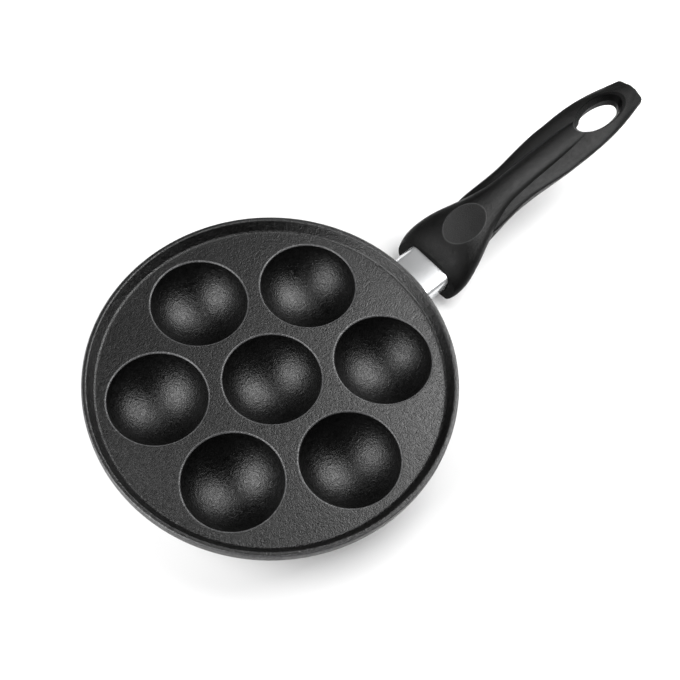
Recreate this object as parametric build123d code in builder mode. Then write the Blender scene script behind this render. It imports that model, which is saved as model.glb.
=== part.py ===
from build123d import *

import os
from math import atan2, cos, radians, sin, tan

# An aebleskiver pan: a cast body with seven round cups, a bright sleeve and a moulded handle.
# Millimetres. The origin is the centre of the base, +Z is up, and the handle points along +X.

# Cast body
rim_diameter = 200.6
body_height = 34.5
recess_depth = 6.1
rim_land = 2.5
recess_slope_run = 3.6
recess_fillet = 1.8
rim_edge_round = 1.0
lip_height = 6.0
lip_bend_radius = 8.0
wall_lean = 20.0
wall_thickness = 3.6
plate_thickness = 3.2
foot_ring_width = 5.0
base_edge_round = 2.5
underside_fillet = 1.8

# Cups
cups_around = 6
first_cup_angle = 30.0
cup_margin = 11.75
cup_gap = 8.0
cup_floor_height = 4.4
cup_wall = 3.6
cup_floor_share = 0.512
cup_side_share = 0.943
cup_side_height_share = 0.430
cup_edge_round = 1.0
cup_pad_diameter = 22.0

# Flame guard, a folded sleeve of sheet round the lug
guard_width = 31.8
guard_height = 12.0
guard_corner = 4.5
guard_sheet = 0.8
guard_axis_height = 13.0
guard_reach = 20.7
guard_gap = 0.25
guard_seat_depth = 4.0

# Lug, cast on the wall, and its tapped hole
lug_play = 0.25
lug_root = 9.0
tap_depth = 13.0
tap_play = 0.05

# Handle
handle_length = 177.3
handle_rise = 26.2
shoulder_width = 49.8
front_tilt = 19.0
end_width = 21.2
end_sagitta = 2.6
end_taper = 12.0
end_corner_round = 3.2
end_edge_round = 0.8
end_top_share = 1.135
end_under_share = 0.810
crown_share = 1.320
socket_play = 0.2
socket_end_gap = 0.3

# Thumb dish
dish_distance = 26.8
dish_drop = 4.5
dish_length = 28.8
dish_width = 21.1
dish_slope = 16.7
dish_depth = 0.9
dish_headroom = 8.0

# Hanging hole
hole_distance = 142.9
hole_length = 42.2
hole_width = 20.2
hole_waist_shift = 2.6
hole_end_inset = 4.3
hole_side_inset = 2.4
hole_top_share = 1.202
hole_bottom_share = 0.840
hole_bottom_shift = 0.6
hole_bottom_end_inset = 2.0
hole_bottom_side_inset = 2.2

# Screw and washers
screw_diameter = 4.0
screw_channel_play = 0.6
screw_head_diameter = 6.6
screw_head_height = 2.8
screw_slot_width = 1.0
screw_slot_depth = 1.3
screw_head_recess = 9.0
screw_head_play = 0.3
screw_tip_chamfer = 0.6
washer_diameter = 6.8
washer_play = 0.15
plain_washer_height = 0.8
spring_washer_height = 1.1
spring_washer_cut = 1.2
seat_gap = 0.02

overrun = 20.0

# The handle's sections, at even steps between two places along it. Each row holds, as shares,
# the section's half width of the shoulder's, and the heights above the guard's axis of its
# widest level, its top and its underside, of the handle's rise. The fullness of a section is how
# far its quarter curves' inner points stand along their sides: 0.55 is round, 1 is square. It
# changes evenly from a table's first section to its last.
spine_start_share = -0.040
spine_end_share = 0.743
spine_fullness_shares = (0.60, 0.80)
spine_shares = [
    (0.640, -0.125, 0.055, -0.360),
    (0.970, 0.076, 0.431, -0.316),
    (0.873, 0.376, 0.766, -0.131),
    (0.676, 0.571, 0.919, 0.153),
    (0.508, 0.658, 1.010, 0.396),
    (0.376, 0.808, 1.090, 0.573),
    (0.345, 0.892, 1.151, 0.694),
    (0.332, 0.939, 1.184, 0.776),
    (0.322, 0.969, 1.198, 0.833),
    (0.312, 0.982, 1.202, 0.867),
    (0.297, 0.988, 1.199, 0.890),
    (0.280, 0.990, 1.190, 0.900),
]
flange_start_share = 0.140
flange_end_share = 1.033
flange_fullness_shares = (0.66, 0.66)
flange_shares = [
    (0.540, 0.480, 0.690, 0.040),
    (0.588, 0.750, 0.870, 0.209),
    (0.551, 0.889, 1.018, 0.366),
    (0.612, 0.968, 1.078, 0.508),
    (0.676, 1.000, 1.109, 0.657),
    (0.690, 1.022, 1.153, 0.778),
    (0.647, 1.036, 1.185, 0.820),
    (0.515, 1.015, 1.165, 0.822),
    (0.345, 0.960, 1.110, 0.815),
]

# Places that follow from the sizes
rim_radius = rim_diameter / 2
plate_top = body_height - recess_depth
plate_under = plate_top - plate_thickness
lip_bottom = body_height - lip_height
lean = tan(radians(wall_lean))
wall_across = wall_thickness / cos(radians(wall_lean))


def wall_radius(height):
    """Gives the radius of the leaning outer wall at a height below the lip."""
    return rim_radius - (lip_bottom - height) * lean


base_radius = wall_radius(0)
recess_mouth_radius = rim_radius - rim_land
recess_foot_radius = recess_mouth_radius - recess_slope_run
# Six cups stand round one, each as far from its neighbours as from the one in the middle.
cup_pitch = (2 * (rim_radius - cup_margin) + cup_gap) / 3
cup_radius = (cup_pitch - cup_gap) / 2

handle_front = rim_radius + guard_reach
handle_end = handle_front + handle_length
guard_end = handle_front + guard_seat_depth
lug_inset = guard_sheet + lug_play
lug_start = wall_radius(guard_axis_height) - lug_root
paddle_level = guard_axis_height + handle_rise
hole_centre = handle_front + hole_distance
hole_front_wall = hole_centre + hole_waist_shift - hole_length / 2 + hole_end_inset

# The screw's line runs from the middle of the tapped hole to the middle of the hole's front wall.
tap_middle = guard_end - tap_depth / 2
screw_rise = paddle_level - guard_axis_height
screw_angle = atan2(screw_rise, hole_front_wall - tap_middle)
screw_line_length = (hole_front_wall - tap_middle) / cos(screw_angle)
screw_plane = Plane(
    origin=(tap_middle, 0, guard_axis_height),
    x_dir=(0, 1, 0),
    z_dir=(cos(screw_angle), 0, sin(screw_angle)),
)
seat_at = screw_line_length - screw_head_recess
screw_tip_at = -tap_depth / 2
screw_radius = screw_diameter / 2
channel_radius = screw_radius + screw_channel_play
head_channel_radius = screw_head_diameter / 2 + screw_head_play
head_at = seat_at + plain_washer_height + spring_washer_height + 3 * seat_gap


def cup_centres():
    """Gives the places of the seven cups: one in the middle and the rest on a circle."""
    step = 360 / cups_around
    angles = [radians(first_cup_angle + step * turn) for turn in range(cups_around)]
    around = [(cup_pitch * cos(a), cup_pitch * sin(a)) for a in angles]
    return [(0, 0)] + around


def cup_curve(radius, floor):
    """Gives the inner points of a cup's round side, from the middle of its floor to its mouth."""
    depth = plate_top - floor
    return [
        (0, floor),
        (radius * cup_floor_share, floor),
        (radius * cup_side_share, floor + depth * cup_side_height_share),
        (radius, plate_top),
    ]


os.makedirs("parts", exist_ok=True)

# One bowl as the casting has it, with its pad, drawn about its own axis from the base.
bowl_radius = cup_radius + cup_wall
bowl_floor = cup_floor_height - cup_wall
with BuildPart() as cup_bowl:
    with BuildSketch(Plane.XZ):
        with BuildLine():
            Bezier(*cup_curve(bowl_radius, bowl_floor))
            Polyline((bowl_radius, plate_top), (0, plate_top), (0, bowl_floor))
        make_face()
    revolve(axis=Axis.Z)
    with BuildSketch():
        Circle(cup_pad_diameter / 2)
    extrude(amount=cup_floor_height)

# The hollow of one cup, with the round edge of its mouth.
mouth_margin = 2 * cup_edge_round
with BuildPart() as cup_space:
    with BuildSketch(Plane.XZ):
        with BuildLine():
            Bezier(*cup_curve(cup_radius, cup_floor_height))
            Polyline(
                (cup_radius, plate_top),
                (cup_radius + mouth_margin, plate_top),
                (cup_radius + mouth_margin, body_height),
                (0, body_height),
                (0, cup_floor_height),
            )
        make_face()
        mouth = vertices().filter_by_position(Axis.Y, plate_top, plate_top).sort_by(Axis.X)[0]
        fillet(mouth, cup_edge_round)
    revolve(axis=Axis.Z)

# The casting: a turned outline, seven bowls with their hollows, the lug and its tapped hole.
with BuildPart() as pan_body:
    with BuildSketch(Plane.XZ):
        with BuildLine():
            Polyline(
                (0, plate_top),
                (recess_foot_radius, plate_top),
                (recess_mouth_radius, body_height),
                (rim_radius, body_height),
                (rim_radius, lip_bottom),
                (base_radius, 0),
                (base_radius - foot_ring_width, 0),
                (wall_radius(plate_under) - wall_across, plate_under),
                (0, plate_under),
                close=True,
            )
        make_face()
        foot = vertices().filter_by_position(Axis.Y, plate_top, plate_top).sort_by(Axis.X)[-1]
        fillet(foot, recess_fillet)
        crest = vertices().filter_by_position(Axis.Y, body_height, body_height)
        fillet(crest, rim_edge_round)
        bend = vertices().filter_by_position(Axis.Y, lip_bottom, lip_bottom)
        fillet(bend, lip_bend_radius)
        base_edge = vertices().filter_by_position(Axis.Y, 0, 0).sort_by(Axis.X)[-1]
        fillet(base_edge, base_edge_round)
        corner = vertices().filter_by_position(Axis.Y, plate_under, plate_under).sort_by(Axis.X)[-1]
        fillet(corner, underside_fillet)
    revolve(axis=Axis.Z)
    with Locations(cup_centres()):
        add(cup_bowl.part)
    with Locations(cup_centres()):
        add(cup_space.part, mode=Mode.SUBTRACT)
    # The lug stands out of the wall inside the sleeve.
    with BuildSketch(Plane.YZ.offset(lug_start)):
        with Locations((0, guard_axis_height)):
            RectangleRounded(
                guard_width - 2 * lug_inset,
                guard_height - 2 * lug_inset,
                guard_corner - lug_inset,
            )
    extrude(amount=guard_end - lug_start)
    with BuildSketch(screw_plane.offset(screw_tip_at)):
        Circle(screw_diameter / 2 + tap_play)
    extrude(amount=2 * tap_depth, mode=Mode.SUBTRACT)

pan_body.part.label = "pan_body"
export_step(pan_body.part, "parts/pan_body.step")


# The space of the wall and a gap round it, which trims the sleeve's end to the wall.
with BuildPart() as wall_space:
    with BuildSketch(Plane.XZ):
        with BuildLine():
            Polyline(
                (0, -overrun),
                (wall_radius(-overrun) + guard_gap, -overrun),
                (rim_radius + guard_gap, lip_bottom),
                (rim_radius + guard_gap, body_height),
                (0, body_height),
                close=True,
            )
        make_face()
    revolve(axis=Axis.Z)

# The flame guard: one sleeve of sheet, open at both ends.
with BuildPart() as flame_guard:
    with BuildSketch(Plane.YZ.offset(lug_start)):
        with Locations((0, guard_axis_height)):
            RectangleRounded(guard_width, guard_height, guard_corner)
            RectangleRounded(
                guard_width - 2 * guard_sheet,
                guard_height - 2 * guard_sheet,
                guard_corner - guard_sheet,
                mode=Mode.SUBTRACT,
            )
    extrude(amount=guard_end - lug_start)
    add(wall_space.part, mode=Mode.SUBTRACT)

flame_guard.part.label = "flame_guard"
export_step(flame_guard.part, "parts/flame_guard.step")


def handle_section(along_share, row, fullness):
    """Gives one closed section of the handle, drawn as four quarters about its widest level."""
    width_share, level_share, top_share, under_share = row
    half_width = width_share * shoulder_width / 2
    level = guard_axis_height + level_share * handle_rise
    over = (top_share - level_share) * handle_rise
    under = (level_share - under_share) * handle_rise
    quarters = ((half_width, over), (-half_width, over), (-half_width, -under), (half_width, -under))
    with BuildSketch(Plane.YZ.offset(handle_front + along_share * handle_length)) as section:
        with BuildLine():
            for turn, (side, lift) in enumerate(quarters):
                points = [
                    (side, level),
                    (side, level + fullness * lift),
                    (fullness * side, level + lift),
                    (0, level + lift),
                ]
                Bezier(*(points if turn % 2 == 0 else reversed(points)))
        make_face()
    return section.sketch


def handle_sections(start_share, end_share, fullness_shares, rows):
    """Gives the sections of one table, evenly spaced from its first place to its last."""
    step = (end_share - start_share) / (len(rows) - 1)
    first, last = fullness_shares
    change = (last - first) / (len(rows) - 1)
    return [
        handle_section(start_share + step * turn, row, first + change * turn)
        for turn, row in enumerate(rows)
    ]


# The dish for the thumb: an oval block with a shallow round floor.
dish_plane = Plane(
    origin=(handle_front + dish_distance, 0, paddle_level - dish_drop),
    x_dir=(cos(radians(dish_slope)), 0, sin(radians(dish_slope))),
    z_dir=(-sin(radians(dish_slope)), 0, cos(radians(dish_slope))),
)
dish_sphere_radius = ((dish_length / 2) ** 2 + dish_depth**2) / (2 * dish_depth)
with BuildPart() as dish_space:
    with BuildSketch(dish_plane.offset(-dish_depth)):
        Ellipse(dish_length / 2, dish_width / 2)
    extrude(amount=dish_headroom)
    with Locations(dish_plane.offset(dish_sphere_radius - dish_depth).origin):
        Sphere(dish_sphere_radius, mode=Mode.INTERSECT)

# The hanging hole narrows to a waist at the paddle's level and opens a little below it. The
# waist stands behind the middle of the mouth, so the front wall leans more than the back one.
hole_top = guard_axis_height + handle_rise * hole_top_share
hole_bottom = guard_axis_height + handle_rise * hole_bottom_share


def hole_oval(height, at, end_inset, side_inset):
    """Gives the hole's oval at a height and a place, smaller by the insets than its mouth."""
    with BuildSketch(Plane.XY.offset(height)) as oval:
        with Locations((at, 0)):
            Ellipse(hole_length / 2 - end_inset, hole_width / 2 - side_inset)
    return oval.sketch


# Both flared ends run as far again past the paddle's faces as they do to reach them.
waist_at = hole_centre + hole_waist_shift
with BuildPart() as hole_space:
    waist_oval = hole_oval(paddle_level, waist_at, hole_end_inset, hole_side_inset)
    upper_oval = hole_oval(
        2 * hole_top - paddle_level,
        hole_centre - hole_waist_shift,
        -hole_end_inset,
        -hole_side_inset,
    )
    lower_oval = hole_oval(
        2 * hole_bottom - paddle_level,
        hole_centre + 2 * hole_bottom_shift - hole_waist_shift,
        2 * hole_bottom_end_inset - hole_end_inset,
        2 * hole_bottom_side_inset - hole_side_inset,
    )
    loft([waist_oval, upper_oval])
    loft([lower_oval, waist_oval])

# The block that trims the handle: a leaning front, and a bowed back with rounded corners.
front_lean = tan(radians(front_tilt)) * handle_rise
end_top = guard_axis_height + handle_rise * end_top_share
end_under = guard_axis_height + handle_rise * end_under_share
crown = guard_axis_height + handle_rise * crown_share
end_bow_radius = ((end_width / 2) ** 2 + end_sagitta**2) / (2 * end_sagitta)
bow_middle = handle_end - end_bow_radius
flank_half = end_width / 2 + (end_bow_radius - end_sagitta) * tan(radians(end_taper))
with BuildPart() as trim_space:
    with BuildSketch(Plane.XZ):
        with BuildLine():
            Polyline(
                (handle_front - front_lean, guard_axis_height - handle_rise),
                (bow_middle, guard_axis_height - handle_rise),
                (bow_middle, guard_axis_height),
                (handle_end, end_under),
                (handle_end, end_top),
                (bow_middle, crown),
                (handle_front + front_lean * crown_share, crown),
                close=True,
            )
        make_face()
        fillet(vertices().filter_by_position(Axis.X, handle_end, handle_end), end_edge_round)
    extrude(amount=shoulder_width, both=True)
    with BuildSketch():
        with BuildLine():
            Polyline(
                (handle_end - end_sagitta, end_width / 2),
                (bow_middle, flank_half),
                (bow_middle, shoulder_width),
                (handle_front - front_lean, shoulder_width),
                (handle_front - front_lean, -shoulder_width),
                (bow_middle, -shoulder_width),
                (bow_middle, -flank_half),
                (handle_end - end_sagitta, -end_width / 2),
            )
            RadiusArc(
                (handle_end - end_sagitta, end_width / 2),
                (handle_end - end_sagitta, -end_width / 2),
                end_bow_radius,
            )
        make_face()
        end_at = handle_end - end_sagitta
        fillet(vertices().filter_by_position(Axis.X, end_at, end_at), end_corner_round)
    extrude(amount=crown, mode=Mode.INTERSECT)

# The handle: a spine from the broad shoulders to the hole, on a flat grip with two flanges.
with BuildPart() as handle:
    loft(
        handle_sections(spine_start_share, spine_end_share, spine_fullness_shares, spine_shares)
    )
    loft(
        handle_sections(
            flange_start_share, flange_end_share, flange_fullness_shares, flange_shares
        )
    )
    add(trim_space.part, mode=Mode.INTERSECT)
    add(dish_space.part, mode=Mode.SUBTRACT)
    add(hole_space.part, mode=Mode.SUBTRACT)
    # The socket that the sleeve and the lug stand in.
    with BuildSketch(Plane.YZ.offset(guard_end + socket_end_gap)):
        with Locations((0, guard_axis_height)):
            RectangleRounded(
                guard_width + 2 * socket_play,
                guard_height + 2 * socket_play,
                guard_corner + socket_play,
            )
    extrude(amount=-2 * guard_seat_depth - front_lean, mode=Mode.SUBTRACT)
    # The screw's channel, and the wider one for its head, open to the hanging hole.
    with BuildSketch(screw_plane):
        Circle(channel_radius)
    extrude(amount=seat_at + seat_gap, mode=Mode.SUBTRACT)
    with BuildSketch(screw_plane.offset(seat_at)):
        Circle(head_channel_radius)
    extrude(amount=screw_head_recess + hole_width / 2, mode=Mode.SUBTRACT)

handle.part.label = "handle"
export_step(handle.part, "parts/handle.step")


# The long screw: a plain shank and a slotted round head.
with BuildPart() as handle_screw:
    with BuildSketch(screw_plane.offset(screw_tip_at)):
        Circle(screw_radius)
    extrude(amount=head_at - screw_tip_at)
    chamfer(handle_screw.edges().sort_by(Axis.X)[0], screw_tip_chamfer)
    with BuildSketch(screw_plane.offset(head_at)):
        Circle(screw_head_diameter / 2)
    extrude(amount=screw_head_height)
    with BuildSketch(screw_plane.offset(head_at + screw_head_height)):
        Rectangle(screw_slot_width, 2 * screw_head_diameter)
    extrude(amount=-screw_slot_depth, mode=Mode.SUBTRACT)

handle_screw.part.label = "handle_screw"
export_step(handle_screw.part, "parts/handle_screw.step")


# The plain washer lies on the channel's step.
plain_at = seat_at + seat_gap
with BuildPart() as plain_washer:
    with BuildSketch(screw_plane.offset(plain_at)):
        Circle(washer_diameter / 2)
        Circle(screw_radius + washer_play, mode=Mode.SUBTRACT)
    extrude(amount=plain_washer_height)

plain_washer.part.label = "plain_washer"
export_step(plain_washer.part, "parts/plain_washer.step")


# The spring washer lies on it, cut through on one side.
spring_at = plain_at + plain_washer_height + seat_gap
with BuildPart() as spring_washer:
    with BuildSketch(screw_plane.offset(spring_at)):
        Circle(washer_diameter / 2)
        Circle(screw_radius + washer_play, mode=Mode.SUBTRACT)
        with Locations((0, washer_diameter / 2)):
            Rectangle(spring_washer_cut, washer_diameter, mode=Mode.SUBTRACT)
    extrude(amount=spring_washer_height)

spring_washer.part.label = "spring_washer"
export_step(spring_washer.part, "parts/spring_washer.step")
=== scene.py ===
import logging
from dataclasses import dataclass, field
from enum import Enum, IntEnum
from math import cos, pi, radians, sin, tan

import bmesh
import bpy
from mathutils import Matrix, Vector


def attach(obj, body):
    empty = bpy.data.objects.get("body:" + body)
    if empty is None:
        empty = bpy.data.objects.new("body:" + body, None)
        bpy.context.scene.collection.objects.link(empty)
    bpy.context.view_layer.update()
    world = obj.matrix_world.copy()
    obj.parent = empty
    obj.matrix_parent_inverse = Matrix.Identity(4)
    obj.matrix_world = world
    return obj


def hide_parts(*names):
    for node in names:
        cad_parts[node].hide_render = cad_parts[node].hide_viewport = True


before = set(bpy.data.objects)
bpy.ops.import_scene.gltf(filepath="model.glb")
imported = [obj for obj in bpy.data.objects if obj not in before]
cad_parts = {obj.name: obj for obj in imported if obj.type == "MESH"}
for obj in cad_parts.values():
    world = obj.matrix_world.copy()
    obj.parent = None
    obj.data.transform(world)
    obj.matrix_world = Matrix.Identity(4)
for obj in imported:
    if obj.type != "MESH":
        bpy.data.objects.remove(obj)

LOG = logging.getLogger("aebleskiver_pan")
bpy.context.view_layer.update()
EDGE_TURN = "edge_turn"
MERGE_DISTANCE = 1e-6
CREASE_ANGLE = radians(40.0)
NODE_STEP = 220.0

Colour = tuple[float, float, float, float]
Place = tuple[float, float, float]
Signal = bpy.types.NodeSocket | float


class Body(Enum):
    """The rigid bodies that pieces ride on."""

    ROOT = "root"


class Coordinates(Enum):
    """Where a texture reads its place from."""

    OBJECT = "Object"


class Measure(IntEnum):
    """Which of an outline point's two numbers is meant."""

    RADIUS = 0
    HEIGHT = 1


def grey(level: float) -> Colour:
    """Gives an even grey."""
    return (level, level, level, 1.0)


def link_piece(name: str, mesh: bpy.types.Mesh) -> bpy.types.Object:
    """Makes an object of a mesh and puts it in the scene.

    Args:
        name: The piece's name.
        mesh: Its finished mesh, in the pan's own frame.

    Returns:
        The linked object, at the origin.
    """
    piece = bpy.data.objects.new(name, mesh)
    bpy.context.scene.collection.objects.link(piece)
    return piece


def finished_mesh(name: str, shape: bmesh.types.BMesh) -> bpy.types.Mesh:
    """Closes a bmesh's seams, turns its faces outwards and shades it smooth up to the crease.

    Each vertex also keeps how far the surface turns there, in radians, for the painted highlights
    along the edges.

    Args:
        name: The mesh's name.
        shape: The finished bmesh, which is freed.

    Returns:
        The new mesh.
    """
    bmesh.ops.remove_doubles(shape, verts=shape.verts, dist=MERGE_DISTANCE)
    bmesh.ops.recalc_face_normals(shape, faces=shape.faces)
    for face in shape.faces:
        face.smooth = True
    for edge in shape.edges:
        if len(edge.link_faces) == 2:
            edge.smooth = edge.calc_face_angle(0.0) < CREASE_ANGLE
    turn = shape.verts.layers.float.new(EDGE_TURN)
    for vert in shape.verts:
        angles = [edge.calc_face_angle_signed(0.0) for edge in vert.link_edges]
        vert[turn] = max(angles, key=abs, default=0.0)
    mesh = bpy.data.meshes.new(name)
    shape.to_mesh(mesh)
    shape.free()
    return mesh


@dataclass
class NodeSheet:
    """A small helper that adds and links the nodes of one material or group."""

    tree: bpy.types.NodeTree

    def feed(self, node: bpy.types.Node, inputs: dict[str | int, object]) -> None:
        """Gives a node's inputs their values or links.

        Args:
            node: The node.
            inputs: A value or another node's output for each input, by its name or place.
        """
        for label, value in inputs.items():
            if isinstance(value, bpy.types.NodeSocket):
                self.tree.links.new(value, node.inputs[label])
            else:
                node.inputs[label].default_value = value

    def put(
        self, kind: str, inputs: dict[str | int, object] | None = None, **settings: object
    ) -> bpy.types.Node:
        """Adds a node to the right of those that are there.

        Args:
            kind: The node's type name.
            inputs: A value or another node's output for each input, by its name or place.
            **settings: Settings of the node, by attribute name.

        Returns:
            The new node.
        """
        node = self.tree.nodes.new(kind)
        node.location = (NODE_STEP * len(self.tree.nodes), 0.0)
        for key, value in settings.items():
            setattr(node, key, value)
        self.feed(node, inputs or {})
        return node

    def math(self, operation: str, *terms: Signal, clamp: bool = False) -> bpy.types.NodeSocket:
        """Adds a calculation.

        Args:
            operation: What it does.
            *terms: What it does it with.
            clamp: Whether the result stays between 0 and 1.

        Returns:
            The result.
        """
        node = self.put(
            "ShaderNodeMath", dict(enumerate(terms)), operation=operation, use_clamp=clamp
        )
        return node.outputs[0]

    def blend(self, share: Signal, start: Signal, end: Signal) -> bpy.types.NodeSocket:
        """Adds a mix of two values, from the start at share 0 to the end at share 1."""
        node = self.put("ShaderNodeMix", {0: share, 2: start, 3: end}, data_type="FLOAT")
        return node.outputs[0]

    def blend_colours(
        self,
        share: bpy.types.NodeSocket,
        start: bpy.types.NodeSocket | Colour,
        end: bpy.types.NodeSocket | Colour,
    ) -> bpy.types.NodeSocket:
        """Adds a mix of two colours.

        Args:
            share: How much of the second colour shows.
            start: The first colour.
            end: The second colour.

        Returns:
            The mixed colour.
        """
        node = self.put("ShaderNodeMix", {0: share, 6: start, 7: end}, data_type="RGBA")
        return node.outputs[2]

    def ramp(
        self, value: Signal, low: Signal, high: Signal, to_low: float = 0.0, to_high: float = 1.0
    ) -> bpy.types.NodeSocket:
        """Adds a straight, clamped step from one range to another.

        Args:
            value: What is stepped.
            low: The value that becomes to_low.
            high: The value that becomes to_high.
            to_low: The result at the low end.
            to_high: The result at the high end.

        Returns:
            The result.
        """
        inputs = {
            "Value": value,
            "From Min": low,
            "From Max": high,
            "To Min": to_low,
            "To Max": to_high,
        }
        return self.put("ShaderNodeMapRange", inputs).outputs["Result"]


@dataclass
class GroupSheet(NodeSheet):
    """The sheet of a node group, with the nodes it starts from and ends at."""

    start: bpy.types.Node
    end: bpy.types.Node


def new_group(name: str, inputs: dict[str, float | None], outputs: tuple[str, ...]) -> GroupSheet:
    """Starts a shader node group with named sockets.

    Args:
        name: The group's name.
        inputs: Each input's default, or nothing for a vector.
        outputs: The names of the outputs, which are all values.

    Returns:
        The group's sheet.
    """
    group = bpy.data.node_groups.new(name, "ShaderNodeTree")
    for label, default in inputs.items():
        kind = "NodeSocketVector" if default is None else "NodeSocketFloat"
        socket = group.interface.new_socket(label, in_out="INPUT", socket_type=kind)
        if default is not None:
            socket.default_value = default
    for label in outputs:
        group.interface.new_socket(label, in_out="OUTPUT", socket_type="NodeSocketFloat")
    start = group.nodes.new("NodeGroupInput")
    end = group.nodes.new("NodeGroupOutput")
    return GroupSheet(group, start, end)


def build_surface_grain() -> bpy.types.NodeTree:
    """Builds the group for a moulded or cast skin: a fine grain, broader waves and two masks.

    Returns:
        The group, with a Height for bumps, and a broad Blotch and a fine Fleck between 0 and 1.
    """
    sheet = new_group(
        "surface_grain",
        {
            "Vector": None,
            "Fine Scale": 1000.0,
            "Wave Scale": 300.0,
            "Blotch Scale": 40.0,
            "Wave Share": 0.5,
        },
        ("Height", "Blotch", "Fleck"),
    )
    given = sheet.start.outputs
    fine, wave, blotch = (
        sheet.put(
            "ShaderNodeTexNoise", {"Vector": given["Vector"], "Scale": given[scale], **character}
        ).outputs["Fac"]
        for scale, character in (
            ("Fine Scale", {"Detail": 3.0, "Roughness": 0.6}),
            ("Wave Scale", {"Detail": 2.0, "Distortion": 1.2}),
            ("Blotch Scale", {"Detail": 4.0}),
        )
    )
    results = {
        "Height": sheet.blend(given["Wave Share"], fine, wave),
        "Blotch": sheet.ramp(blotch, low=0.35, high=0.65),
        "Fleck": sheet.ramp(wave, low=0.36, high=0.66),
    }
    sheet.feed(sheet.end, results)
    return sheet.tree


def build_painted_edge_highlight() -> bpy.types.NodeTree:
    """Builds the group that marks rounded edges and tight inner corners, broken up by noise, for a
    painted highlight there.

    Returns:
        The group, with a Mask that is 1 where the surface turns tightly.
    """
    sheet = new_group(
        "painted_edge_highlight",
        {"Vector": None, "Turn": 0.0, "Threshold": 0.080, "Softness": 0.140, "Break Up": 0.170},
        ("Mask",),
    )
    given = sheet.start.outputs
    # painted highlight mask: 1 on tight edges and inner corners, where the lamps' glints would show
    noise = sheet.put("ShaderNodeTexNoise", {"Vector": given["Vector"], "Scale": 800.0})
    break_up = sheet.math("MULTIPLY", noise.outputs["Fac"], given["Break Up"])
    sharpness = sheet.math("SUBTRACT", sheet.math("ABSOLUTE", given["Turn"]), break_up)
    top = sheet.math("ADD", given["Threshold"], given["Softness"])
    sheet.feed(sheet.end, {"Mask": sheet.ramp(sharpness, given["Threshold"], top)})
    return sheet.tree


def build_oval_mask() -> bpy.types.NodeTree:
    """Builds the group that marks an oval on a surface, and the thin line round it.

    Returns:
        The group, with an Inside mask and a Line mask, each 1 where it holds.
    """
    sheet = new_group(
        "oval_mask",
        {
            "Vector": None,
            "Middle": None,
            "Turn": None,
            "Half Size": None,
            "Lowest": 0.0,
            "Line Share": 0.05,
        },
        ("Inside", "Line"),
    )
    given = sheet.start.outputs
    local = sheet.put(
        "ShaderNodeMapping",
        {
            "Vector": given["Vector"],
            "Location": given["Middle"],
            "Rotation": given["Turn"],
            "Scale": given["Half Size"],
        },
        vector_type="TEXTURE",
    )
    axes = sheet.put("ShaderNodeSeparateXYZ", {"Vector": local.outputs["Vector"]}).outputs
    flat = sheet.put("ShaderNodeCombineXYZ", {"X": axes["X"], "Y": axes["Y"]})
    reach = sheet.put("ShaderNodeVectorMath", {0: flat.outputs["Vector"]}, operation="LENGTH")
    reach = reach.outputs["Value"]
    above = sheet.math("GREATER_THAN", axes["Z"], given["Lowest"])
    within = sheet.math("LESS_THAN", reach, 1.0)
    away = sheet.math("ABSOLUTE", sheet.math("SUBTRACT", reach, 1.0))
    line = sheet.ramp(away, 0.0, given["Line Share"], to_low=1.0, to_high=0.0)
    results = {
        "Inside": sheet.math("MULTIPLY", within, above),
        "Line": sheet.math("MULTIPLY", line, above),
    }
    sheet.feed(sheet.end, results)
    return sheet.tree


@dataclass(frozen=True)
class Groups:
    """The shared effects, each built once."""

    grain: bpy.types.NodeTree = field(default_factory=build_surface_grain)
    # painted highlight along tight edges and inner corners
    edge_highlights: bpy.types.NodeTree = field(default_factory=build_painted_edge_highlight)
    oval: bpy.types.NodeTree = field(default_factory=build_oval_mask)


@dataclass(frozen=True)
class Grain:
    """How fine a skin's grain is and how high it stands."""

    fine_scale: float
    wave_scale: float
    blotch_scale: float
    wave_share: float
    bump_distance: float
    bump_strength: float

    def masks(self, sheet: NodeSheet, groups: Groups, place: bpy.types.NodeSocket) -> bpy.types.Node:
        """Adds the shared grain to a material.

        Args:
            sheet: The material's sheet.
            groups: The shared effects.
            place: Where the grain reads its place from.

        Returns:
            The group's node.
        """
        inputs = {
            "Vector": place,
            "Fine Scale": self.fine_scale,
            "Wave Scale": self.wave_scale,
            "Blotch Scale": self.blotch_scale,
            "Wave Share": self.wave_share,
        }
        return sheet.put("ShaderNodeGroup", inputs, node_tree=groups.grain)

    def bump(self, sheet: NodeSheet, grain: bpy.types.Node) -> bpy.types.Node:
        """Adds the bumps that a grain's height makes.

        Args:
            sheet: The material's sheet.
            grain: The grain's node.

        Returns:
            The bump node.
        """
        inputs = {
            "Strength": self.bump_strength,
            "Distance": self.bump_distance,
            "Height": grain.outputs["Height"],
        }
        return sheet.put("ShaderNodeBump", inputs)


@dataclass(frozen=True)
class Oval:
    """An oval on the handle that shines otherwise than the skin round it.

    It holds from a lowest height on, counted from its middle, and a painted highlight line
    of its own amount runs pale along its edge.
    """

    middle: Place
    slope: float
    length: float
    width: float
    lowest: float
    specular: float
    line_amount: float

    def mark(
        self,
        sheet: NodeSheet,
        groups: Groups,
        place: bpy.types.NodeSocket,
        pale: Signal,
        shine: Signal,
    ) -> tuple[bpy.types.NodeSocket, bpy.types.NodeSocket]:
        """Adds the oval to a skin.

        Args:
            sheet: The material's sheet.
            groups: The shared effects.
            place: Where the oval reads its place from.
            pale: How much painted highlight the skin has so far.
            shine: How shiny the skin is so far.

        Returns:
            The new painted highlight and the new shine.
        """
        inputs = {
            "Vector": place,
            "Middle": self.middle,
            "Turn": (0.0, -self.slope, 0.0),
            "Half Size": (self.length / 2, self.width / 2, 1.0),
            "Lowest": self.lowest,
        }
        mask = sheet.put("ShaderNodeGroup", inputs, node_tree=groups.oval).outputs
        # painted highlight line along the oval's edge
        line = sheet.math("MULTIPLY_ADD", mask["Line"], self.line_amount, pale, clamp=True)
        return line, sheet.blend(mask["Inside"], shine, self.specular)


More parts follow.
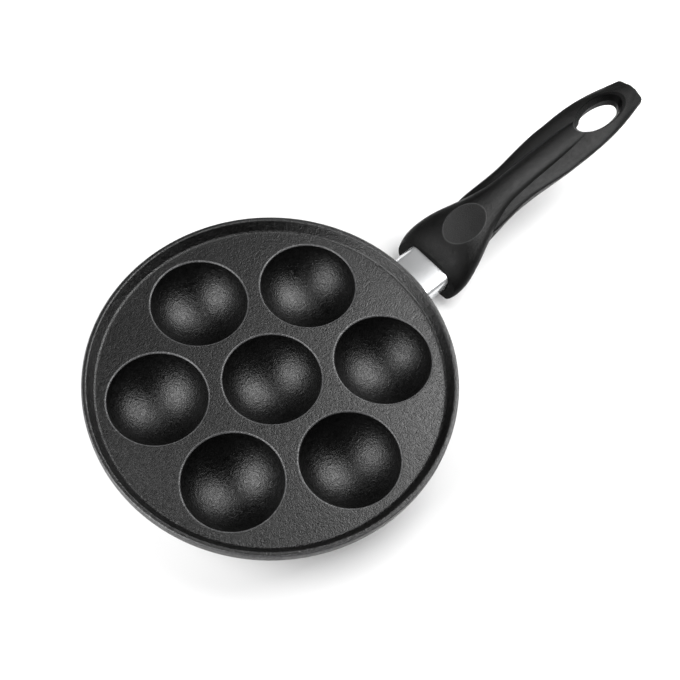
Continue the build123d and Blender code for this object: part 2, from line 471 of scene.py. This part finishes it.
@dataclass(frozen=True)
class MouldedFinish:
    """A black skin with grain: the pan's coating and the handle's plastic."""

    name: str
    dark: Colour
    light: Colour
    # painted highlight: the pale colour put on tight edges and round ovals in place of the lamps'
    # glints
    highlight_colour: Colour
    roughness_low: float
    roughness_high: float
    grain: Grain
    specular: float
    fleck_amount: float
    highlight_amount: float
    ovals: tuple[Oval, ...] = ()

    def build(self, groups: Groups) -> bpy.types.Material:
        """Builds the material.

        Args:
            groups: The shared effects.

        Returns:
            The finished material.
        """
        material = bpy.data.materials.new(self.name)
        material.use_nodes = True
        sheet = NodeSheet(material.node_tree)
        shader = material.node_tree.nodes["Principled BSDF"]
        place = sheet.put("ShaderNodeTexCoord").outputs[Coordinates.OBJECT.value]
        grain = self.grain.masks(sheet, groups, place)
        blotch, fleck = grain.outputs["Blotch"], grain.outputs["Fleck"]
        turned = sheet.put("ShaderNodeAttribute", attribute_name=EDGE_TURN).outputs["Fac"]
        edge_highlights = sheet.put(
            "ShaderNodeGroup", {"Vector": place, "Turn": turned}, node_tree=groups.edge_highlights
        )
        skin = sheet.blend_colours(blotch, self.dark, self.light)
        # painted highlight: pale colour along tight edges and inner corners, standing in for the
        # lamps' glints
        pale = sheet.math("MULTIPLY", edge_highlights.outputs["Mask"], self.highlight_amount)
        shine: Signal = self.specular
        for oval in self.ovals:
            pale, shine = oval.mark(sheet, groups, place, pale, shine)
        spread = sheet.blend(self.fleck_amount, blotch, fleck)
        rough = sheet.ramp(spread, 0.0, 1.0, self.roughness_low, self.roughness_high)
        inputs = {
            # the skin's colour, turned pale where a highlight is painted
            "Base Color": sheet.blend_colours(pale, skin, self.highlight_colour),
            "Roughness": rough,
            "Specular IOR Level": shine,
            "Normal": self.grain.bump(sheet, grain).outputs["Normal"],
        }
        sheet.feed(shader, inputs)
        return material


@dataclass(frozen=True)
class Bow:
    """How a sheet bows across its width, as its shine shows it."""

    strength: float
    middle: float

    def normal(self, sheet: NodeSheet, place: bpy.types.NodeSocket) -> bpy.types.NodeSocket:
        """Adds the bow to a material.

        Args:
            sheet: The material's sheet.
            place: Where the bow reads its place from.

        Returns:
            The bowed normal.
        """
        axes = sheet.put("ShaderNodeSeparateXYZ", {"Vector": place})
        across = sheet.math("SUBTRACT", axes.outputs["Y"], self.middle)
        inputs = {"Distance": self.strength, "Height": sheet.math("MULTIPLY", across, across)}
        return sheet.put("ShaderNodeBump", inputs, invert=True).outputs["Normal"]


@dataclass(frozen=True)
class MetalFinish:
    """A bare metal with fine scratches that run one way."""

    name: str
    colour: Colour
    shade: Colour
    roughness_low: float
    roughness_high: float
    stretch: Place
    grain: Grain
    metallic: float = 1.0
    bow: Bow | None = None

    def build(self, groups: Groups) -> bpy.types.Material:
        """Builds the material.

        Args:
            groups: The shared effects.

        Returns:
            The finished material.
        """
        material = bpy.data.materials.new(self.name)
        material.use_nodes = True
        sheet = NodeSheet(material.node_tree)
        shader = material.node_tree.nodes["Principled BSDF"]
        place = sheet.put("ShaderNodeTexCoord").outputs[Coordinates.OBJECT.value]
        drawn = sheet.put("ShaderNodeMapping", {"Vector": place, "Scale": self.stretch})
        grain = self.grain.masks(sheet, groups, drawn.outputs["Vector"])
        height, blotch = grain.outputs["Height"], grain.outputs["Blotch"]
        bump = self.grain.bump(sheet, grain)
        if self.bow is not None:
            sheet.feed(bump, {"Normal": self.bow.normal(sheet, place)})
        inputs = {
            "Metallic": self.metallic,
            "Base Color": sheet.blend_colours(blotch, self.colour, self.shade),
            "Roughness": sheet.ramp(height, 0.0, 1.0, self.roughness_low, self.roughness_high),
            "Normal": bump.outputs["Normal"],
        }
        sheet.feed(shader, inputs)
        return material


THUMB_DISH = Oval(
    middle=(0.1478, 0.0, 0.0347),
    slope=radians(16.7),
    length=0.0288,
    width=0.0211,
    lowest=-0.004,
    specular=0.32,
    # how pale the painted highlight line round the dish is
    line_amount=0.16,
)
HANGING_HOLE = Oval(
    middle=(0.2665, 0.0, 0.0392),
    slope=0.0,
    length=0.0426,
    width=0.0206,
    lowest=-1.0,
    specular=0.07,
    line_amount=0.0,
)
SATIN_COATING = MouldedFinish(
    name="satin_coating",
    dark=grey(0.0002),
    light=grey(0.0008),
    # painted highlight on the rim's crest and fillet lines, and how strongly it shows
    highlight_colour=(0.090, 0.090, 0.092, 1.0),
    roughness_low=0.27,
    roughness_high=0.49,
    grain=Grain(
        fine_scale=1300.0,
        wave_scale=520.0,
        blotch_scale=30.0,
        wave_share=0.6,
        bump_distance=0.00045,
        bump_strength=1.0,
    ),
    specular=0.6,
    fleck_amount=0.8,
    highlight_amount=0.9,
)
MOULDED_PLASTIC = MouldedFinish(
    name="moulded_plastic",
    dark=grey(0.0012),
    light=grey(0.0025),
    # painted highlight along the thumb dish's edge; the handle's edges get none
    highlight_colour=grey(0.180),
    roughness_low=0.33,
    roughness_high=0.55,
    grain=Grain(
        fine_scale=1800.0,
        wave_scale=480.0,
        blotch_scale=35.0,
        wave_share=0.3,
        bump_distance=0.00025,
        bump_strength=1.0,
    ),
    specular=0.21,
    fleck_amount=0.75,
    highlight_amount=0.0,
    ovals=(THUMB_DISH, HANGING_HOLE),
)


def scratches(bump_distance: float) -> Grain:
    """Gives the fine scratches of a bare metal.

    Args:
        bump_distance: How deep they are.

    Returns:
        The scratches, as a grain.
    """
    return Grain(
        fine_scale=900.0,
        wave_scale=300.0,
        blotch_scale=60.0,
        wave_share=0.3,
        bump_distance=bump_distance,
        bump_strength=0.4,
    )


POLISHED_SHEET = MetalFinish(
    name="polished_sheet",
    colour=(0.86, 0.87, 0.88, 1.0),
    shade=(0.80, 0.81, 0.82, 1.0),
    roughness_low=0.18,
    roughness_high=0.30,
    stretch=(0.15, 1.0, 1.0),
    grain=scratches(bump_distance=0.00002),
    metallic=0.7,
    bow=Bow(strength=5.4, middle=-0.014),
)
ZINC_STEEL = MetalFinish(
    name="zinc_steel",
    colour=(0.62, 0.62, 0.63, 1.0),
    shade=(0.50, 0.50, 0.52, 1.0),
    roughness_low=0.25,
    roughness_high=0.40,
    stretch=(1.0, 1.0, 1.0),
    grain=scratches(bump_distance=0.00001),
)
SPRING_STEEL = MetalFinish(
    name="spring_steel",
    colour=(0.30, 0.30, 0.31, 1.0),
    shade=(0.22, 0.22, 0.23, 1.0),
    roughness_low=0.30,
    roughness_high=0.45,
    stretch=(1.0, 1.0, 1.0),
    grain=scratches(bump_distance=0.00001),
)


@dataclass
class Casting:
    """The cast body: a dished plate with seven cups, a rim, a leaning wall and bowls underneath.

    A ring share says how many times its round a flat ring reaches past a corner.
    """

    rim_radius: float = 0.1003
    height: float = 0.0345
    plate_top: float = 0.0284
    plate_thickness: float = 0.0032
    rim_land: float = 0.0025
    slope_run: float = 0.0036
    slope_fillet: float = 0.0018
    crest_round: float = 0.0010
    lip_height: float = 0.0060
    lip_bend: float = 0.0080
    wall_lean: float = radians(20.0)
    wall_across: float = 0.00383
    foot_width: float = 0.0050
    base_round: float = 0.0025
    underside_fillet: float = 0.0018
    underside_ring_share: float = 1.6
    outer_cups: int = 6
    cup_margin: float = 0.01175
    cup_gap: float = 0.0080
    cup_floor: float = 0.0044
    cup_floor_share: float = 0.512
    cup_side_share: float = 0.943
    cup_side_height_share: float = 0.430
    cup_wall: float = 0.0036
    cup_edge_round: float = 0.0010
    cup_ring_share: float = 1.5
    pad_radius: float = 0.0110
    lug_start: float = 0.0905
    lug_end: float = 0.1250
    lug_width: float = 0.0297
    lug_height: float = 0.0099
    lug_axis_height: float = 0.0130
    lug_round: float = 0.00345
    turns: int = 240
    cup_turns: int = 120
    cup_steps: int = 36
    few_round_steps: int = 5
    round_steps: int = 6
    halvings: int = 40

    @property
    def cup_circle(self) -> float:
        """Gives the radius of the circle that the outer cups stand on."""
        return (2 * (self.rim_radius - self.cup_margin) + self.cup_gap) / 3

    @property
    def cup_radius(self) -> float:
        """Gives the radius of a cup's mouth."""
        return (self.cup_circle - self.cup_gap) / 2

    @property
    def plate_underside(self) -> float:
        """Gives the height of the plate's underside."""
        return self.plate_top - self.plate_thickness

    def wall_radius(self, height: float) -> float:
        """Gives the outer wall's radius at a height."""
        return self.rim_radius - (self.height - self.lip_height - height) * tan(self.wall_lean)

    def rounded_outline(
        self, points: list[tuple[float, float]], rounds: dict[int, tuple[float, int]]
    ) -> bmesh.types.BMesh:
        """Draws an open outline in the XZ plane and rounds some of its corners.

        Args:
            points: Radius and height of each corner, in order.
            rounds: The radius and the number of steps of each corner to round, by its place.

        Returns:
            The outline as a bmesh of vertices and edges.
        """
        outline = bmesh.new()
        corners = [outline.verts.new((radius, 0.0, height)) for radius, height in points]
        for start, end in zip(corners, corners[1:]):
            outline.edges.new((start, end))
        spots = [corner.co.copy() for corner in corners]
        for place, (radius, steps) in rounds.items():
            before, corner, after = (spots[place + shift] for shift in (-1, 0, 1))
            angle = (before - corner).angle(after - corner)
            nearest = min(outline.verts, key=lambda vert: (vert.co - corner).length)
            bmesh.ops.bevel(
                outline,
                geom=[nearest],
                offset=radius / tan(angle / 2),
                offset_type="OFFSET",
                segments=steps,
                profile=0.5,
                affect="VERTICES",
                material=-1,
            )
        return outline

    def turned(self, outline: bmesh.types.BMesh, turns: int) -> bmesh.types.BMesh:
        """Spins an outline once round the Z axis.

        Args:
            outline: The outline's bmesh, which becomes the turned surface.
            turns: The number of steps round.

        Returns:
            The same bmesh.
        """
        bmesh.ops.spin(
            outline,
            geom=outline.verts[:] + outline.edges[:],
            cent=(0, 0, 0),
            axis=(0, 0, 1),
            angle=2 * pi,
            steps=turns,
            use_merge=True,
        )
        bmesh.ops.remove_doubles(outline, verts=outline.verts, dist=MERGE_DISTANCE)
        return outline

    def shell(self) -> bmesh.types.BMesh:
        """Makes the rim, the wall, the foot ring and the inside of the skirt.

        Returns:
            The turned surface, open at the plate's top and underside.
        """
        under = self.plate_underside
        bend = self.height - self.lip_height
        mouth = self.rim_radius - self.rim_land
        foot = mouth - self.slope_run
        base = self.wall_radius(0.0)
        inner = self.wall_radius(under) - self.wall_across
        points = [
            (foot - self.slope_fillet, self.plate_top),
            (foot, self.plate_top),
            (mouth, self.height),
            (self.rim_radius, self.height),
            (self.rim_radius, bend),
            (base, 0.0),
            (base - self.foot_width, 0.0),
            (inner, under),
            (inner - self.underside_ring_share * self.underside_fillet, under),
        ]
        rounds = {
            1: (self.slope_fillet, self.round_steps),
            2: (self.crest_round, self.few_round_steps),
            3: (self.crest_round, self.round_steps),
            4: (self.lip_bend, self.few_round_steps),
            5: (self.base_round, self.round_steps),
            7: (self.underside_fillet, self.round_steps),
        }
        return self.turned(self.rounded_outline(points, rounds), self.turns)

    def side_point(self, radius: float, floor: float, along: float) -> tuple[float, float]:
        """Gives a point of a cup's or a bowl's round side, a curve that starts flat at the floor.

        Args:
            radius: The side's radius at the plate's top.
            floor: The height of the middle of its floor.
            along: The share of the way from the floor's middle to the mouth.

        Returns:
            The point's radius and height.
        """
        back = 1 - along
        across = back * self.cup_floor_share + along * self.cup_side_share
        across = 3 * back * along * across + along**3
        rise = 3 * back * along**2 * self.cup_side_height_share + along**3
        return radius * across, floor + (self.plate_top - floor) * rise

    def share_along(self, radius: float, floor: float, measure: Measure, value: float) -> float:
        """Finds where a round side reaches a radius or a height.

        Args:
            radius: The side's radius at the plate's top.
            floor: The height of the middle of its floor.
            measure: Which of the two is looked for.
            value: The radius or height that is looked for.

        Returns:
            The share of the way from the floor's middle to the mouth.
        """
        low, high = 0.0, 1.0
        for _ in range(self.halvings):
            middle = (low + high) / 2
            if self.side_point(radius, floor, middle)[measure] < value:
                low = middle
            else:
                high = middle
        return high

    def cup(self) -> bmesh.types.BMesh:
        """Makes one cup's hollow about its own axis, from a flat ring round its mouth.

        Returns:
            The turned surface, open at the plate.
        """
        ring = self.cup_radius + self.cup_ring_share * self.cup_edge_round
        points = [(ring, self.plate_top)]
        for step in range(self.cup_steps, -1, -1):
            points.append(self.side_point(self.cup_radius, self.cup_floor, step / self.cup_steps))
        rounds = {1: (self.cup_edge_round, self.few_round_steps)}
        return self.turned(self.rounded_outline(points, rounds), self.cup_turns)

    def bowl(self) -> bmesh.types.BMesh:
        """Makes one bowl as it stands under the plate, with its flat pad.

        Returns:
            The turned surface, open at the plate's underside.
        """
        radius = self.cup_radius + self.cup_wall
        floor = self.cup_floor - self.cup_wall
        start = self.share_along(radius, floor, Measure.HEIGHT, self.plate_underside)
        end = self.share_along(radius, floor, Measure.RADIUS, self.pad_radius)
        steps = self.cup_steps // 2
        points = [
            self.side_point(radius, floor, start + (end - start) * step / steps)
            for step in range(steps + 1)
        ]
        points += [(self.pad_radius, 0.0), (0.0, 0.0)]
        return self.turned(self.rounded_outline(points, {}), self.cup_turns)

    def lug(self) -> bmesh.types.BMesh:
        """Makes the lug that stands out of the wall inside the sleeve.

        Returns:
            A closed block with rounded long edges.
        """
        block = bmesh.new()
        bmesh.ops.create_cube(block, size=1.0)
        size = Vector((self.lug_end - self.lug_start, self.lug_width, self.lug_height))
        middle = Vector(((self.lug_start + self.lug_end) / 2, 0.0, self.lug_axis_height))
        bmesh.ops.scale(block, vec=size, verts=block.verts)
        bmesh.ops.translate(block, vec=middle, verts=block.verts)
        along = [
            edge
            for edge in block.edges
            if abs((edge.verts[0].co - edge.verts[1].co).x) > MERGE_DISTANCE
        ]
        bmesh.ops.bevel(
            block,
            geom=along,
            offset=self.lug_round,
            offset_type="OFFSET",
            segments=self.round_steps,
            profile=0.5,
            affect="EDGES",
            material=-1,
        )
        return block

    def cup_places(self) -> list[tuple[float, float]]:
        """Gives the axes of the cups: one in the middle and the others round it.

        Returns:
            X and Y of each axis.
        """
        places = [(0.0, 0.0)]
        for turn in range(self.outer_cups):
            angle = 2 * pi * (turn + 1 / 2) / self.outer_cups
            places.append((self.cup_circle * cos(angle), self.cup_circle * sin(angle)))
        return places

    def close_plate(self, body: bmesh.types.BMesh) -> None:
        """Fills the plate's top and underside between the rims of the cups and of the shell.

        Args:
            body: The joined surfaces, open at both levels.
        """
        for level in (self.plate_top, self.plate_underside):
            rims = [
                edge
                for edge in body.edges
                if edge.is_boundary
                and all(abs(vert.co.z - level) < MERGE_DISTANCE for vert in edge.verts)
            ]
            bmesh.ops.triangle_fill(body, use_beauty=True, use_dissolve=False, edges=rims)

    def build(self, material: bpy.types.Material) -> bpy.types.Object:
        """Joins the parts of the casting, closes the plate round the cups and dresses it.

        Args:
            material: The coating.

        Returns:
            The finished piece.
        """
        body = bmesh.new()
        parts = [(self.shell(), (0.0, 0.0)), (self.lug(), (0.0, 0.0))]
        for place in self.cup_places():
            parts += [(self.cup(), place), (self.bowl(), place)]
        for part, (x, y) in parts:
            bmesh.ops.translate(part, vec=(x, y, 0.0), verts=part.verts)
            loose = bpy.data.meshes.new("part")
            part.to_mesh(loose)
            part.free()
            body.from_mesh(loose)
            bpy.data.meshes.remove(loose)
        self.close_plate(body)
        mesh = finished_mesh("coated_casting", body)
        mesh.materials.append(material)
        piece = link_piece("coated_casting", mesh)
        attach(piece, Body.ROOT.value)
        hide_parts("pan_body")
        return piece


@dataclass
class CarriedNodes:
    """The CAD nodes that stay, with better materials."""

    finishes: dict[str, bpy.types.Material]

    def dress(self) -> None:
        """Puts each finish in its node's material slots."""
        for node, material in self.finishes.items():
            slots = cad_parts[node].data.materials
            if not slots:
                slots.append(material)
            for place in range(len(slots)):
                slots[place] = material


@dataclass(frozen=True)
class Lamp:
    """A soft square lamp: where it stands, the length of its side and its power."""

    name: str
    place: Place
    side: float
    watts: float

    def build(self, aim: Place) -> bpy.types.Object:
        """Makes the lamp.

        Args:
            aim: The point it faces.

        Returns:
            The lamp.
        """
        light = bpy.data.lights.new(self.name, "AREA")
        light.shape = "SQUARE"
        light.size = self.side
        light.energy = self.watts
        lamp = bpy.data.objects.new(self.name, light)
        bpy.context.scene.collection.objects.link(lamp)
        lamp.location = self.place
        ahead = Vector(aim) - Vector(self.place)
        lamp.rotation_euler = ahead.to_track_quat("-Z", "Y").to_euler()
        return lamp


@dataclass
class Studio:
    """The pale floor, the soft lamps, the world and the camera.

    The floor glows a little for the camera and for reflections, more so away from the pan, so
    that the ground stays white and keeps the pan's shadow.
    """

    camera_place: Place = (-0.1692, -0.1880, 0.5503)
    forward: Place = (0.3591, 0.3061, -0.8817)
    right: Place = (0.7332, -0.6770, 0.0636)
    focal_pixels: float = 1075.9
    frame_pixels: float = 680.0
    sensor: float = 36.0
    nearest_seen: float = 0.01
    floor_half: float = 3.0
    floor_paint: Colour = grey(0.72)
    glow_start: float = 0.20
    glow_end: float = 0.60
    glow_near: float = 0.22
    glow_far: float = 1.0
    world_seen: float = 1.0
    world_given: float = 0.012
    aim: Place = (0.0, 0.0, 0.02)
    lamps: tuple[Lamp, ...] = (
        Lamp("right_lamp", (0.312, -0.090, 0.354), side=0.36, watts=2.9),
        Lamp("left_lamp", (-0.328, 0.093, 0.270), side=0.32, watts=2.55),
        Lamp("top_lamp", (0.28, 0.20, 0.75), side=0.50, watts=1.0),
    )

    def camera(self) -> bpy.types.Object:
        """Makes the camera at the photograph's viewing angle.

        Returns:
            The camera, set as the scene's own.
        """
        lens = bpy.data.cameras.new("camera")
        lens.sensor_width = self.sensor
        lens.sensor_fit = "HORIZONTAL"
        lens.lens = self.focal_pixels / self.frame_pixels * self.sensor
        lens.clip_start = self.nearest_seen
        camera = bpy.data.objects.new("camera", lens)
        bpy.context.scene.collection.objects.link(camera)
        ahead = Vector(self.forward).normalized()
        side = (Vector(self.right) - ahead * Vector(self.right).dot(ahead)).normalized()
        up = side.cross(ahead)
        turn = Matrix((side, up, -ahead)).transposed().to_4x4()
        camera.matrix_world = Matrix.Translation(self.camera_place) @ turn
        bpy.context.scene.camera = camera
        return camera

    def floor_material(self) -> bpy.types.Material:
        """Makes the floor's paint.

        Returns:
            The finished material.
        """
        material = bpy.data.materials.new("pale_floor")
        material.use_nodes = True
        nodes = material.node_tree.nodes
        sheet = NodeSheet(material.node_tree)
        nodes.remove(nodes["Principled BSDF"])
        paint = sheet.put("ShaderNodeBsdfDiffuse", {"Color": self.floor_paint})
        path = sheet.put("ShaderNodeLightPath").outputs
        seen = sheet.math("ADD", path["Is Camera Ray"], path["Is Glossy Ray"], clamp=True)
        place = sheet.put("ShaderNodeTexCoord").outputs[Coordinates.OBJECT.value]
        away = sheet.put("ShaderNodeVectorMath", {0: place}, operation="LENGTH").outputs["Value"]
        fade = sheet.ramp(away, self.glow_start, self.glow_end, self.glow_near, self.glow_far)
        glow = sheet.put("ShaderNodeEmission", {"Strength": sheet.math("MULTIPLY", seen, fade)})
        both = sheet.put("ShaderNodeAddShader", {0: paint.outputs[0], 1: glow.outputs[0]})
        sheet.feed(nodes["Material Output"], {"Surface": both.outputs[0]})
        return material

    def floor(self) -> bpy.types.Object:
        """Makes the pale floor, which keeps the pan's shadow.

        Returns:
            The floor.
        """
        ground = bmesh.new()
        bmesh.ops.create_grid(ground, x_segments=1, y_segments=1, size=self.floor_half)
        mesh = bpy.data.meshes.new("floor")
        ground.to_mesh(mesh)
        ground.free()
        mesh.materials.append(self.floor_material())
        floor = link_piece("floor", mesh)
        return floor

    def world(self) -> None:
        """Makes the plain surroundings: pale for the camera, dimmer for the light they give."""
        surroundings = bpy.data.worlds.new("studio")
        bpy.context.scene.world = surroundings
        surroundings.use_nodes = True
        sheet = NodeSheet(surroundings.node_tree)
        seen = sheet.put("ShaderNodeLightPath").outputs["Is Camera Ray"]
        level = sheet.blend(seen, self.world_given, self.world_seen)
        back = surroundings.node_tree.nodes["Background"]
        sheet.feed(back, {"Color": grey(1.0), "Strength": level})

    def build(self) -> None:
        """Makes the whole studio."""
        self.camera()
        self.floor()
        self.world()
        for lamp in self.lamps:
            lamp.build(self.aim)


def main() -> None:
    """Builds the studio and the pan, and reports each piece."""
    logging.basicConfig(level=logging.INFO, format="%(message)s")
    bpy.context.scene.view_settings.view_transform = "Standard"
    Studio().build()
    LOG.info("studio: camera, floor and lamps")
    groups = Groups()
    casting = Casting().build(SATIN_COATING.build(groups))
    LOG.info("casting: %d faces", len(casting.data.polygons))
    zinc = ZINC_STEEL.build(groups)
    finishes = {
        "flame_guard": POLISHED_SHEET.build(groups),
        "handle": MOULDED_PLASTIC.build(groups),
        "handle_screw": zinc,
        "plain_washer": zinc,
        "spring_washer": SPRING_STEEL.build(groups),
    }
    CarriedNodes(finishes).dress()
    LOG.info("carried nodes: %s", ", ".join(finishes))


if __name__ == "__main__":
    main()
